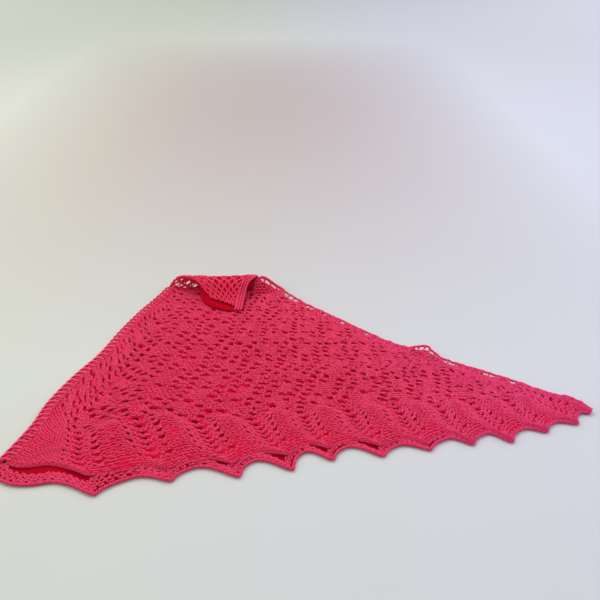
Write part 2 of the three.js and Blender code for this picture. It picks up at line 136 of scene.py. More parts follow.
class Layer:
    """One of the two plies of the folded shawl: where its sides and front edge run."""

    def __init__(self, under, slip, tuck, tip, first):
        self.under, self.slip, self.tuck = under, slip, tuck
        self.tip, self.first = tip, first  # where its marks start in SCALLOPS and FIRST_BAY

    def left(self, r):
        """Left side of the fabric, beside the spine."""
        return beside(SPINE, r * self.slip, np.broadcast_to(SPINE_WIDTH + SEAM, np.shape(r)))

    def right(self, r, inside=None):
        """Line so far inside the top edge, or else the right side of the fabric."""
        if inside is None:
            inside = band_width(r) + SEAM
        return beside(TOP, r, -(inside + self.tuck * (1 - smooth(r, START, 1))))

    def start(self, col):
        """Line where the border starts."""
        left, right = self.left(np.array(START)), self.right(np.array(START))
        return along([(0, *left), *[s[:3] for s in SCALLOPS], (COLUMNS, *right)], col)

    def edge(self, col):
        """Scalloped line where the fabric ends, beside the cast-off edge."""
        left, right = self.left(np.array(1.0)), self.right(np.array(1.0))
        marks = [(0, *left, 1),
                 (FIRST_BAY[0], FIRST_BAY[self.first], FIRST_BAY[self.first + 1] + ROPE, 0)]
        for s in SCALLOPS:
            bay_col = s[0] + VEIN_GAP // 2 if s is not SCALLOPS[-1] else LAST_BAY_COL
            marks += [(s[0], s[self.tip], s[self.tip + 1] + ROPE, 1),
                      (bay_col, s[self.tip + 2], s[self.tip + 3] + ROPE, 0)]
        marks = np.array(marks + [(COLUMNS, *right, 1)])
        col = np.asarray(col, float)
        k = np.clip(np.searchsorted(marks[:, 0], col) - 1, 0, len(marks) - 2)
        a, b = marks[k], marks[k + 1]
        s = (col - a[..., 0]) / (b[..., 0] - a[..., 0])
        a_tip = a[..., 3] > 0.5
        from_bay = np.where(a_tip, 1 - s, s)
        eased = mix(from_bay, 1 - np.cos(from_bay * np.pi / 2), 0.85)
        depth = np.where(a_tip, 1 - eased, eased)
        d = (b - a)[..., 1:3]
        down = (d @ WALE)[..., None] * WALE
        sideways = np.where(a_tip, s ** 1.7, s)
        return a[..., 1:3] + (d - down) * sideways[..., None] + down * depth[..., None]

    def swing(self, t, col):
        """Plan shift of the border's rows: forward at each vein, back between two veins."""
        amount = np.where(t < 0.35, 0.65 - 0.65 * (1 - t / 0.35) ** 2, 1 - t)
        back = np.where(col < FIRST_VEIN, 0, 0.5 - 0.5 * np.cos(vein_turn(col)))
        ends = smooth(col, 0, 7) * smooth(COLUMNS - col, 0.5, 3)
        along_wale = (SWING * np.clip(amount, 0, 1) * ends * (0.35 - back))[..., None] * WALE
        t = np.clip(t, 0, 1)
        lean = BOW * 6.75 * t * t * (1 - t) * smooth(col, 2, 8) * smooth(COLUMNS - col, 0, 8)
        late = SPINE_LAG * np.sin(np.pi * t) * (1 - smooth(col, 1, 8)) * smooth(col, -1, 1)
        aside, forward = np.array([1.0, 0.0]), np.array([-0.15, -0.98])
        return along_wale + lean[..., None] * aside + late[..., None] * forward

    def place(self, r, col):
        """Plan position of the fabric at a row and a column, in the tables' millimetres."""
        r, col = np.broadcast_arrays(np.asarray(r, float), np.asarray(col, float))
        u = (col / COLUMNS)[..., None]
        left, right, start, edge = self.left(r), self.right(r), self.start(col), self.edge(col)
        ends = [self.left(np.array(START)), self.right(np.array(START))]
        body = mix(left, right, u) + (r[..., None] / START) ** 2 * (start - mix(*ends, u))
        t = (r[..., None] - START) / (1 - START)
        sides = [side - mix(self.start(c), self.edge(c), t)
                 for side, c in ((left, 0.0), (right, float(COLUMNS)))]
        border = (mix(start, edge, t) + self.swing(t[..., 0], col)
                  + (1 - u) * sides[0] + u * sides[1])
        return np.where(r[..., None] <= START, body, border)

    def face(self, r, col):
        """Upper face of the layer at a row and a column."""
        p = self.place(r, col)
        r, col = np.broadcast_arrays(np.asarray(r, float), np.asarray(col, float))
        if self.under == 0:
            return np.concatenate([p, np.full(p.shape[:-1] + (1,), CLOTH)], -1)
        h = sum(s[4] * np.exp(-((p[..., 0] - s[0]) / s[2]) ** 2 - ((p[..., 1] - s[1]) / s[3]) ** 2)
                for s in SWELLS)
        t = np.clip((r - START) / (1 - START), 0, 1)
        vein = 0.5 + 0.5 * np.cos(vein_turn(col))
        h = h + 2.2 * vein ** 2 * np.sqrt(t) * np.where(col > 4, 1, 0.4)
        edge = np.maximum(0, (col / COLUMNS - 0.9) / 0.1)
        side = np.minimum(1, col / 4) * np.minimum(1, (COLUMNS - col) / 2)
        z = (self.under + CLOTH + h * mix(0.35, 1, np.clip(side, 0, 1)) * (1 - edge * 0.3)
             + top_rise(r) * edge ** 2 * 0.5)
        return np.concatenate([p, z[..., None]], -1)


def band_width(r):
    """Width of the top edge's eyelet band, which narrows along the border."""
    return BAND_WIDTH * (1 - 0.45 * smooth(r, START, 1))


def top_rise(r):
    """How far the top edge stands up at a row."""
    return np.maximum(0, along(TOP, r)[..., 2])


UPPER = Layer(under=LAYER_RISE, slip=UPPER_SLIP, tuck=0.0, tip=3, first=1)
LOWER = Layer(under=0.0, slip=1.0, tuck=LOWER_TUCK, tip=7, first=3)

# The knitting's own count: two knitted rows to a lace row, and stitches across the half shawl.
KNIT_ROWS = 120
FOLD_KNIT, START_KNIT = 32, 96
SHUT_KNIT = 112  # from this row on the ground is shut, and its eyelets in the border are coloured in painted shade
FULL = 120  # stitches of the half shawl from the border's start on
SHIFT = 1 / 3  # stitches are centred this far past whole numbers, so a vein has one
DIAMOND = (9.0, 13.0)  # stitches and rows from one solid diamond to the next


def stitches(knit_row):
    """Stitches in the half shawl at a knitted row."""
    return np.minimum(FULL, FULL / START_KNIT * np.asarray(knit_row, float))


def column(m, knit_row):
    """Column of a stitch, counted from the middle of its row."""
    return COLUMNS * np.clip(0.5 + m / stitches(knit_row), 0, 1)


def density(m, knit_row):
    """How closely the body is knitted: 1 in the middle of a solid diamond, -1 in the open lace."""
    return np.cos(2 * np.pi * m / DIAMOND[0]) * np.cos(2 * np.pi * (knit_row - 2) / DIAMOND[1])


rng = np.random.default_rng(7)
EYELET_GAP = 3.0  # stitches from one eyelet of the body to the next
BESIDE = np.arange(-21, 22)  # eyelets of a row, counted from its middle
KINK_ROWS = (75, 77, 79, 81)  # where the top edge stands up, and more of the lace shows
VEIN_EYELETS = ((0, 1.5, 2.1), (-2.9, 0.7, 1.1), (2.9, 0.7, 1.1))  # off the vein, width, opening
# Eyelets by the row boundary that they sit on: stitch, half width in stitches, opening in rows.
eyelets = {}
for q in range(FOLD_KNIT // 2 + 1, START_KNIT // 2):
    k, half = 2 * q, float(stitches(2 * q)) / 2
    spots = EYELET_GAP * BESIDE + EYELET_GAP / 2 * (q % 2) + 0.8 * np.sin(0.9 * q)
    spots = spots + rng.uniform(-0.6, 0.6, len(BESIDE))
    eyelets[k] = [
        (m, rng.uniform(0.55, 0.95), rng.uniform(0.9, 1.8))
        for m in spots if abs(m) < half - 1.4 and density(m, k) < 0.4 and rng.uniform() < 0.92
    ]
for k in KINK_ROWS:
    half = float(stitches(k)) / 2
    eyelets[k] = [(half - 1.0 - (k % 4 == 1) * 0.9, 0.75, 1.5),
                  (half - 4.9 - 0.3 * (k % 4), 0.7, 1.1)]
eyelets[START_KNIT] = [(m, rng.uniform(0.6, 1.0), rng.uniform(0.6, 1.3))
                       for m in np.arange(-57, 57, 3.2)]
for k in range(START_KNIT + 2, KNIT_ROWS - 1, 3):
    on = k - START_KNIT
    eyelets[k] = [(s[0] / COLUMNS * FULL - FULL / 2 + off, half, min(size, 0.5 * on) - 0.02 * on)
                  for s in SCALLOPS for off, half, size in VEIN_EYELETS]


def openness(boundary, m):
    """How far the strands beside a row boundary are drawn apart at stitch m."""
    g = np.zeros_like(m)
    for at, half_width, size in eyelets.get(boundary, ()):
        g = np.maximum(g, size * np.exp(-(((m - at) / half_width) ** 4)))
    return g


LOOP_STEPS = 8  # points along the yarn of one stitch
waves = [(rng.uniform(0.15, 0.9), rng.uniform(0.2, 1.1), rng.uniform(0, 2 * np.pi))
         for _ in range(9)]


def wander(m, k):
    """Hand-knitted unevenness: a smooth drift of the stitches, within about 1 either way."""
    return sum(np.sin(a * m + b * k + c) for a, b, c in waves) / 4.5


def knit_line(layer, k, holes=True, lift=0.0, tall=0.58):
    """Centre line of the yarn along knitted row k: loops with their heads towards the front."""
    half = float(stitches(k + 0.5)) / 2
    first, last = math.ceil(-half - SHIFT), math.floor(half - SHIFT)
    n = last - first + 1
    theta = np.linspace(-np.pi, np.pi, LOOP_STEPS, endpoint=False)
    noise = rng.normal(0, 0.05, (n, 3))  # sideways, along the row's way and in height
    m = first + SHIFT + np.arange(n) + noise[:, 0]
    m = m[:, None] + theta / (2 * np.pi) + 0.13 * np.sin(2 * theta)
    close = np.clip(density(m, k + 0.5), 0, 1) if k < START_KNIT else np.zeros_like(m)
    height = (tall + 0.2 * close + noise[:, 1:2]) * np.cos(theta)
    pairing = (0.17 * (1 - close) if k < START_KNIT else 0.1) * (1 if k % 2 == 0 else -1)
    row = k + 0.5 + height + 0.22 * wander(m, k) + pairing
    if holes:  # the loops' heads and feet draw back from an eyelet, and the next rows crowd in
        head, foot = openness(k + 1, m), openness(k, m)
        row -= np.maximum(height, 0) * 0.7 * np.minimum(head, 1) + 0.5 * head
        row -= np.minimum(height, 0) * 0.7 * np.minimum(foot, 1) - 0.5 * foot
        row += 0.16 * openness(k - 1, m) - 0.16 * openness(k + 2, m)
    side = column(m + 0.25 * wander(k, m), k + 0.5)
    line = layer.face(np.clip(row / KNIT_ROWS, FOLD * 0.97, 1.004), side)
    # The loops' sides stand up and their heads and feet lie low, some lower than others.
    sunk = 0.25 + 0.5 * np.clip(wander(m * 3, k * 2 + 9), -1, 1)
    line[..., 2] += lift + (1.0 - 0.5 * close) * (np.cos(2 * theta) - 0.1) + noise[:, 2:3] * 3
    line[..., 2] -= sunk * (1 - np.cos(2 * theta)) / 2
    line[..., 2] += 0.35 * wander(m + 40, k)
    return line.reshape(-1, 3)


def metres(p):
    """Points of the tables in the frame's metres."""
    return (np.asarray(p, float) - MIDDLE) / 1000


def piece_of(name, data):
    """Object of a finished mesh, on the shawl's one body."""
    piece = bpy.data.objects.new(name, data)
    bpy.context.scene.collection.objects.link(piece)
    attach(piece, "root")
    return piece


def fabric(name, grid, finish, thick=0.7, is_open=lambda i, j: False, offset=-1.0,
           second=None, is_second=lambda i, j: False):
    """Thin wall of fabric over a grid of points in the tables' millimetres.

    Some cells may be open, and some may have a second finish."""
    ni, nj = grid.shape[:2]
    cells = [(i, j) for i in range(ni - 1) for j in range(nj - 1) if not is_open(i, j)]
    faces = [(i * nj + j, (i + 1) * nj + j, (i + 1) * nj + j + 1, i * nj + j + 1) for i, j in cells]
    mesh = bpy.data.meshes.new(name)
    mesh.from_pydata(metres(grid).reshape(-1, 3).tolist(), [], faces)
    mesh.materials.append(finish)
    if second:
        mesh.materials.append(second)
        mesh.polygons.foreach_set("material_index", [int(is_second(i, j)) for i, j in cells])
    built = bmesh.new()
    built.from_mesh(mesh)
    bmesh.ops.remove_doubles(built, verts=built.verts, dist=2e-6)
    loose = [v for v in built.verts if not v.link_faces]
    bmesh.ops.delete(built, geom=loose, context="VERTS")
    bmesh.ops.recalc_face_normals(built, faces=built.faces)
    if sum(f.normal.z * f.calc_area() for f in built.faces) < 0:
        bmesh.ops.reverse_faces(built, faces=built.faces)
    built.to_mesh(mesh)
    built.free()
    mesh.polygons.foreach_set("use_smooth", np.ones(len(mesh.polygons), bool))
    piece = piece_of(name, mesh)
    wall = piece.modifiers.new("Wall", "SOLIDIFY")
    wall.thickness, wall.offset = thick / 1000, offset
    return piece


class Socket:
    """A shader socket whose operators add Math nodes."""

    def __init__(self, tree, out):
        self.tree, self.out = tree, out

    def node(self, kind, settings=(), **inputs):
        made = self.tree.nodes.new(kind)
        for key, value in dict(settings).items():
            setattr(made, key, value)
        for key, value in inputs.items():
            by_number = key[0] == "i" and key[1:].isdigit()
            target = made.inputs[int(key[1:]) if by_number else key.replace("_", " ")]
            if isinstance(value, Socket):
                self.tree.links.new(value.out, target)
            else:
                target.default_value = value
        return made

    def blend(self, a, b):
        """Colour between a and b, by this value."""
        made = self.node("ShaderNodeMix", {"data_type": "RGBA"}, i0=self, i6=a, i7=b)
        return Socket(self.tree, made.outputs[2])

    def math(self, operation, other, swapped=False):
        a, b = (other, self) if swapped else (self, other)
        made = self.node("ShaderNodeMath", {"operation": operation}, i0=a, i1=b)
        return Socket(self.tree, made.outputs[0])

    def __add__(self, other): return self.math("ADD", other)
    def __radd__(self, other): return self.math("ADD", other, True)
    def __sub__(self, other): return self.math("SUBTRACT", other)
    def __rsub__(self, other): return self.math("SUBTRACT", other, True)
    def __mul__(self, other): return self.math("MULTIPLY", other)
    def __rmul__(self, other): return self.math("MULTIPLY", other, True)


PATCHES, FIBRES = 90.0, 1400.0  # fineness of the dye's patches and of the wool's fibres
BLUE_LIGHT_PAINT = (1.0, 1.3, 1.6)  # painted bluish light: how much the colour's green and blue rise towards the right end
BLUE_LIGHT_RATE = 2.6  # of that rise to a metre


def wool(name, light, deep, fuzz=0.0):
    """Plied wool: two shades of the dye in patches, bluer to the right as painted light, fine fibre bump
    and a soft sheen.
    """
    material = bpy.data.materials.new(name)
    material.use_nodes = True
    tree = material.node_tree
    shader = tree.nodes["Principled BSDF"]
    at = Socket(tree, tree.nodes.new("ShaderNodeTexCoord").outputs["Object"])
    patches, fibre = (
        Socket(tree, at.node("ShaderNodeTexNoise", Vector=at, Scale=scale, Detail=detail).outputs[0])
        for scale, detail in ((PATCHES, 3.0), (FIBRES, 2.0)))
    dye = (patches * 0.7 + fibre * 0.3).blend((*deep, 1), (*light, 1))
    x = Socket(tree, at.node("ShaderNodeSeparateXYZ", Vector=at).outputs["X"])
    # Painted bluish light: the colour turns bluer towards the right end.
    blue_lit = [(a + b) / 2 * c for a, b, c in zip(light, deep, BLUE_LIGHT_PAINT)]
    colour = (x * BLUE_LIGHT_RATE - 0.05).blend(dye, (*blue_lit, 1))
    tree.links.new(colour.out, shader.inputs["Base Color"])
    bump = at.node("ShaderNodeBump", Height=fibre, Strength=0.35, Distance=0.0006)
    tree.links.new(bump.outputs[0], shader.inputs["Normal"])
    shader.inputs["Roughness"].default_value = 0.85
    shader.inputs["Specular IOR Level"].default_value = 0.22 if fuzz else 0.0
    shader.inputs["Sheen Weight"].default_value = fuzz
    shader.inputs["Sheen Roughness"].default_value = 0.6
    shader.inputs["Sheen Tint"].default_value = (1.0, 0.45, 0.6, 1)
    return material


YARN = wool("raspberry_yarn", (0.86, 0.037, 0.132), (0.74, 0.021, 0.098), fuzz=0.3)
# The ground under the yarn is darker and redder than the yarn: painted shade in the gaps between
# strands.
SHADOWED_BACKING = wool("raspberry_shadowed_ground", (0.63, 0.009, 0.045), (0.54, 0.006, 0.036))


def strand_tree():
    """Geometry Nodes: a round strand of yarn along every line of a mesh."""
    tree = bpy.data.node_groups.new("Yarn strand", "GeometryNodeTree")
    ports = tree.interface
    ports.new_socket("Lines", in_out="INPUT", socket_type="NodeSocketGeometry")
    ports.new_socket("Radius", in_out="INPUT", socket_type="NodeSocketFloat")
    ports.new_socket("Sides", in_out="INPUT", socket_type="NodeSocketInt")
    ports.new_socket("Finish", in_out="INPUT", socket_type="NodeSocketMaterial")
    ports.new_socket("Strands", in_out="OUTPUT", socket_type="NodeSocketGeometry")
    add, link = tree.nodes.new, tree.links.new
    given, made = add("NodeGroupInput"), add("NodeGroupOutput")
    curve, section = add("GeometryNodeMeshToCurve"), add("GeometryNodeCurvePrimitiveCircle")
    tube, soft = add("GeometryNodeCurveToMesh"), add("GeometryNodeSetShadeSmooth")
    real, finish = add("GeometryNodeRealizeInstances"), add("GeometryNodeSetMaterial")
    tube.inputs["Fill Caps"].default_value = True
    link(given.outputs["Lines"], curve.inputs["Mesh"])
    link(given.outputs["Sides"], section.inputs["Resolution"])
    link(given.outputs["Radius"], section.inputs["Radius"])
    link(curve.outputs["Curve"], tube.inputs["Curve"])
    link(section.outputs["Curve"], tube.inputs["Profile Curve"])
    link(tube.outputs["Mesh"], soft.inputs["Geometry"])
    link(soft.outputs["Geometry"], real.inputs["Geometry"])
    link(real.outputs["Geometry"], finish.inputs["Geometry"])
    link(given.outputs["Finish"], finish.inputs["Material"])
    link(finish.outputs["Geometry"], made.inputs["Strands"])
    return tree


STRAND = strand_tree()


def yarn(name, lines, radius, sides=4, finish=YARN):
    """A piece of plied yarn along lines in the tables' millimetres, nowhere lower than the table."""
    lines = [metres(np.maximum(line, [-np.inf, -np.inf, radius])) for line in lines]
    counts = [len(line) for line in lines]
    starts = np.concatenate([[0], np.cumsum(counts)[:-1]])
    edges = np.concatenate([np.stack([np.arange(a, a + n - 1), np.arange(a + 1, a + n)], -1)
                            for a, n in zip(starts, counts)])
    mesh = bpy.data.meshes.new(name)
    mesh.vertices.add(sum(counts))
    mesh.vertices.foreach_set("co", np.concatenate(lines).ravel())
    mesh.edges.add(len(edges))
    mesh.edges.foreach_set("vertices", edges.ravel())
    guide = bpy.data.objects.new(name + "_lines", mesh)
    bpy.context.scene.collection.objects.link(guide)
    modifier = guide.modifiers.new("Yarn", "NODES")
    modifier.node_group = STRAND
    ids = {port.name: port.identifier for port in STRAND.interface.items_tree
           if port.in_out == "INPUT"}
    modifier[ids["Radius"]] = radius / 1000
    modifier[ids["Sides"]] = sides
    modifier[ids["Finish"]] = finish
    shown = guide.evaluated_get(bpy.context.evaluated_depsgraph_get())
    baked = bpy.data.meshes.new_from_object(shown)
    bpy.data.objects.remove(guide)
    return piece_of(name, baked)


def ground(name, layer, rows, lift=-0.6, step=1, holes=True, finish=SHADOWED_BACKING,
           second=None, is_second=None):
    """The fulled ground of the knitting, one cell to a stitch and a row, open at the eyelets.

    A second finish goes on the cells at eyelets, unless is_second says where. By default the ground is
    coloured in painted shade for the gaps between strands."""
    rows = np.asarray(rows, float)
    m = np.arange(-FULL // 2 - 1, FULL // 2 + 3, step) + SHIFT - 0.5
    grid_k, grid_m = np.meshgrid(rows, m, indexing="ij")
    half = stitches(grid_k) / 2
    side = column(np.clip(grid_m, -half, half), grid_k)
    grid = layer.face(np.minimum(grid_k / KNIT_ROWS, 1.0), side)
    grid[..., 2] += lift

    def at_eyelet(i, j):
        spots = eyelets.get(round((rows[i] + rows[i + 1]) / 2), ())
        return holes and any(abs(m[j] + step / 2 - spot[0]) < 0.5 for spot in spots)

    return fabric(name, grid, finish, is_open=lambda i, j: rows[i] < SHUT_KNIT and at_eyelet(i, j),
                  second=second, is_second=is_second or at_eyelet)


def cut_area(layer, first, last):
    """Flat area of a layer between two knitted rows, in square metres."""
    r, col = np.meshgrid(np.linspace(first, last, 60) / KNIT_ROWS,
                         np.linspace(0, COLUMNS, 2 * COLUMNS + 1), indexing="ij")
    p = layer.place(r, col) / 1000
    a, b = p[1:, 1:] - p[:-1, :-1], p[1:, :-1] - p[:-1, 1:]
    return float(np.abs(a[..., 0] * b[..., 1] - a[..., 1] * b[..., 0]).sum() / 2)


def declare(layer, first, last):
    """Area-based length of a folded sheet between two knitted rows, about as wide as its last row is
    long; it is worked out and then dropped.
    """
    area = cut_area(layer, first, last)
    width = 0.68 * last / KNIT_ROWS + 0.05  # in metres
    max(area * 1.05 / width, 0.05)


body_rows = [FOLD_KNIT + 0.3, *np.arange(FOLD_KNIT + 0.5, START_KNIT, 1.0), START_KNIT]
upper_body = ground("lace_body", UPPER, body_rows)
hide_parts("upper_body")
body_lines = [knit_line(UPPER, k, tall=0.52) for k in range(FOLD_KNIT, START_KNIT)]
# Three pieces, as one of so many loops would be too heavy.
body_yarn = [yarn("lace_body_yarn_" + part, body_lines[a:b], radius=1.05)
             for part, a, b in (("neck", 0, 26), ("middle", 26, 46), ("front", 46, None))]


# Feather border, upper layer: knitted on from the body in the same yarn, a paired increase at each
# vein on every second row and decreases between, so that its rows swing and its edge scallops.
# Painted shade: a dark red copy of the wool, put where deep shadow falls.
SHADOW_PAINT = wool("raspberry_shadow_paint", (0.47, 0.003, 0.016), (0.39, 0.002, 0.012))
border_rows = [START_KNIT, *np.arange(START_KNIT + 0.5, KNIT_ROWS, 1.0), KNIT_ROWS]
# Its eyelets from SHUT_KNIT on are shut, and their cells are coloured in painted shade in place of a
# hole.
upper_border = ground("feather_border", UPPER, border_rows, lift=-0.1, second=SHADOW_PAINT)
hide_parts("upper_border")
border_lines = [knit_line(UPPER, k) for k in range(START_KNIT, KNIT_ROWS)]
border_yarn = yarn("feather_border_yarn", border_lines, radius=1.0)


# Lower layer: the other half of the same shawl, knitted in the same wool and folded under. Only the
# rim of its border shows; the rest is its plain ground, in painted bounce light and in painted shade
# near the rim.
# Painted bounce light: brighter and deeper red than the yarn, for the light the pink wool throws back
# into the holes.
RED_BOUNCE_PAINT = wool("raspberry_bounce_paint", (0.95, 0.008, 0.050), (0.88, 0.005, 0.040))
RIM_ROWS = 4
LEFT_ROWS = (28, 44)  # stitches of the first two, which show only at the left


def bounce_painted_cells(i, j):
    """Cells of the border's ground that get the painted bounce light, behind the strip of painted shade
    along the rim.
    """
    return i < (8 if j < 24 else 9)


lower_rows = np.linspace(FOLD_KNIT, START_KNIT, 17)
lower_body = ground("lower_half_body", LOWER, lower_rows, lift=0.9, step=4, holes=False, finish=RED_BOUNCE_PAINT)
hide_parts("lower_body")
lower_rows = np.linspace(START_KNIT, KNIT_ROWS, 13)
# The strip along its rim is in painted shade; the cells behind it have the painted bounce light.
lower_border = ground("lower_half_border", LOWER, lower_rows, lift=-0.3, holes=False, finish=SHADOW_PAINT,
                      second=RED_BOUNCE_PAINT, is_second=bounce_painted_cells)
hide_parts("lower_border")
rim_lines = [knit_line(LOWER, k, holes=False, lift=1.0, tall=0.4)
             for k in range(KNIT_ROWS - RIM_ROWS, KNIT_ROWS)]
for i, shown in enumerate(LEFT_ROWS):
    rim_lines[i] = rim_lines[i][:shown * LOOP_STEPS]
rim_yarn = yarn("lower_half_rim_yarn", rim_lines, radius=1.35)


# Cast-off edges: a chain of stitches bound off along the scallops of each layer, a rope of two
# strands of the yarn. The lower layer's runs further out, so both show.

def twisted(path, reach, turn):
    """Two strands laid round a path, this far off it, with a full turn in so many millimetres."""
    path = np.asarray(path, float)
    way = np.gradient(path, axis=0)
    length = np.concatenate([[0], np.cumsum(np.linalg.norm(np.diff(path, axis=0), axis=1))])
    at = np.arange(0, length[-1], turn / 8)
    p = np.stack([np.interp(at, length, path[:, i]) for i in range(3)], -1)
    w = np.stack([np.interp(at, length, way[:, i]) for i in range(3)], -1)
    w /= np.linalg.norm(w, axis=1, keepdims=True)
    across = np.cross(w, [0, 0, 1.0])
    across /= np.linalg.norm(across, axis=1, keepdims=True)
    rise = np.cross(across, w)
    strands = []
    for k in range(2):
        angle = (at / turn * 2 * np.pi + k * np.pi)[:, None]
        strands.append(p + reach * (np.cos(angle) * across + np.sin(angle) * rise))
    return strands


def rim(layer, out, rise):
    """Line along a layer's scalloped edge, outside it."""
    p = layer.face(1.0, np.linspace(0, COLUMNS, 721))
    way = np.gradient(p[:, :2], axis=0)
    way /= np.linalg.norm(way, axis=1, keepdims=True)
    for _ in range(12):
        way[1:-1] = (way[:-2] + way[1:-1] * 2 + way[2:]) / 4
    p[:, :2] += np.stack([way[:, 1], -way[:, 0]], -1) * out
    p[:, 2] += rise
    return p


upper_strands = twisted(rim(UPPER, out=0.9, rise=-1.9), reach=1.15, turn=7.0)
upper_rope = yarn("cast_off_upper", upper_strands, radius=1.15)
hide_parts("upper_cast_off")
lower_strands = twisted(rim(LOWER, out=2.4, rise=0.7), reach=1.2, turn=7.0)
lower_rope = yarn("cast_off_lower", lower_strands, radius=1.3)
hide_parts("lower_cast_off")
declare(UPPER, START_KNIT, KNIT_ROWS)
declare(LOWER, START_KNIT, KNIT_ROWS)


# Spine: the centre stitch of the shawl, where it is folded. The paired increases beside it leave a
# small eyelet and a ridge on every lace row, and the ridges wrap round the fold.

# Section round the fold, from the lower half (0) to the upper (6): distance inside the fold's line,
# height, share of the upper half's slip, share of its swells. WRAP is the yarn's, SKIN the ground's.
WRAP = [(0, 9.5, 1.9, 0, 0), (1, 5.0, 1.9, 0, 0), (2, 0.4, 2.0, 0.2, 0), (3, -2.6, 3.4, 0.5, 0),
        (4, 0.2, 5.7, 0.8, 0.2), (5, 5.0, 6.3, 1, 0.5), (6, 13.0, 6.0, 1, 1)]
SKIN = [(0, 9.0, 0.7, 0, 0), (1, 7.4, 0.7, 0, 0), (2, 3.4, 0.7, 0.1, 0), (3, 1.9, 2.7, 0.5, 0),
        (4, 3.4, 4.4, 0.9, 0.4), (5, 7.4, 4.4, 1, 0.8), (6, 9.0, 4.2, 1, 1)]


def wrapped(profile, r, s, out=0.0):
    """Point of the fold at a row, s of the way round its section."""
    inside, z, part, follow = np.moveaxis(along(profile, s), -1, 0)
    p = beside(SPINE, r * mix(1, UPPER_SLIP, part), inside - out)
    up = UPPER.face(r, 0.0)[..., 2] - LAYER_RISE - CLOTH
    return np.concatenate([p, (z + follow * up)[..., None]], -1)


OPEN_FROM = 44  # row of the ground from which its eyelets show


def spine_eyelet(i, j):
    """Cells of the spine's ground that are open, on either side of the fold."""
    return i > OPEN_FROM and i % 4 == 1 and j in (1, 4)


skin_r = np.arange(FOLD_KNIT, KNIT_ROWS + 1) / KNIT_ROWS
grid_r, grid_s = np.meshgrid(skin_r, np.arange(7.0), indexing="ij")
spine_skin = fabric("folded_spine", wrapped(SKIN, grid_r, grid_s), SHADOWED_BACKING,
                    is_open=spine_eyelet, offset=0.0)
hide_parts("spine_fold")
ridges = []
for k in range(FOLD_KNIT // 2, LACE_ROWS + 1):
    for shift, out in ((-0.08, 0.2), (0.09, 0.9)):  # the two strands of a ridge
        s = np.linspace(0.3, 6, 15)
        r = np.clip((k + shift + 0.04 * np.sin(s * 1.3 + k)) / LACE_ROWS, FOLD, 1.0)
        ridges.append(wrapped(WRAP, r, s, out))
    if k < LACE_ROWS:  # a short bar on the upper half, between two ridges
        ridges.append(wrapped(WRAP, np.full(7, (k + 0.5) / LACE_ROWS), np.linspace(4.4, 6, 7), -1.5))
r = np.linspace(0.56, 1.0, 270)
for shift in (0.0, 0.9):  # the chain of the spine stitch, along the fold where it is seen
    turn = r * KNIT_ROWS * np.pi
    ridges.append(wrapped(WRAP, r, 3.0 + 0.25 * np.sin(turn + shift), 0.5 + 0.5 * np.cos(turn) - shift))
spine_yarn = yarn("spine_ridges", ridges, radius=1.45)


# Top edges: an eyelet row inside a thin two-strand rope. Short bars of yarn hold the rope to the
# lace on every lace row. The lower layer's edge lies tucked in under the upper's.

# Stretches of the edge where its eyelets show: row and reach.
AIRY = [
    (0.295, 0.036), (0.365, 0.012), (0.41, 0.006), (0.52, 0.005), (0.46, 0.008), (0.645, 0.02),
    (0.672, 0.012), (0.716, 0.024), (0.80, 0.013), (0.845, 0.008),
]
KINK = (0.63, 0.68)  # rows where the edge stands up and a third line of cells is open
LIFTED, LIFT_REACH, LIFT = 0.295, 0.03, 2.5  # the rope's rise beside the neck corner


def airy(r):
    """Where the edge stands open enough for its eyelets to show: 1 there, 0 elsewhere."""
    return sum(np.exp(-(((r - at) / width) ** 2)) for at, width in AIRY)


def lifted(r):
    """Rise of the upper rope beside the neck corner."""
    return LIFT * np.exp(-(((r - LIFTED) / LIFT_REACH) ** 2))


def edge_line(layer, r, across):
    """Line along the top edge, from its outside (0) to the lace (1)."""
    p = layer.right(r, across * band_width(r) - 1.1 * wander(r * 500, 3) * (layer is UPPER))
    inner, outer = layer.face(r, float(COLUMNS))[..., 2], layer.under + CLOTH
    if layer is UPPER:
        outer = outer + top_rise(r)
    return np.concatenate([p, mix(outer, inner, across)[..., None]], -1)


def rope_and_bars(layer, lift):
    """The edge's rope, the bars across its eyelets, and its lines of stitches where it is shut."""
    r = np.linspace(FOLD, 1.0, 500)
    rope = edge_line(layer, r, 0.2)
    rope[:, 2] += lift + lifted(r) * (layer is UPPER)
    bars = []
    for k in range(FOLD_KNIT // 2, LACE_ROWS + 1):
        across = np.linspace(0.15, 1.3, 7)
        for side in (-1, 1):
            lean = side * (0.07 + 0.13 * np.cos((across - 0.15) / 1.15 * np.pi))
            p = edge_line(layer, np.clip((k + lean) / LACE_ROWS, FOLD, 1.0), across)
            raised = 0.7 + lifted(k / LACE_ROWS) * np.clip(1 - across, 0, 1)
            p[:, 2] += lift * across + raised * (layer is UPPER)
            bars.append(p)
    selvedge = []
    for across in (0.46, 0.78, 1.1):
        shut = airy(r + 0.004 * wander(r * 400, across * 9)) < 0.5
        for part in np.split(np.arange(len(r)), np.flatnonzero(np.diff(shut)) + 1):
            if shut[part[0]] and len(part) > 3:
                weave = 0.12 * np.sin(r[part] * KNIT_ROWS * 2 * np.pi + across * 9)
                line = edge_line(layer, r[part], across + weave)
                line[:, 2] += lift * across + 0.4
                selvedge.append(line)
    return twisted(rope, reach=1.0, turn=6.0), bars + selvedge


skin_r = np.linspace(FOLD, 1.0, 300)


def edge_eyelet(i, j):
    """Cells of the edge's ground that are open."""
    return airy(skin_r[i]) > 0.4 and j < 2 + (KINK[0] < skin_r[i] < KINK[1])


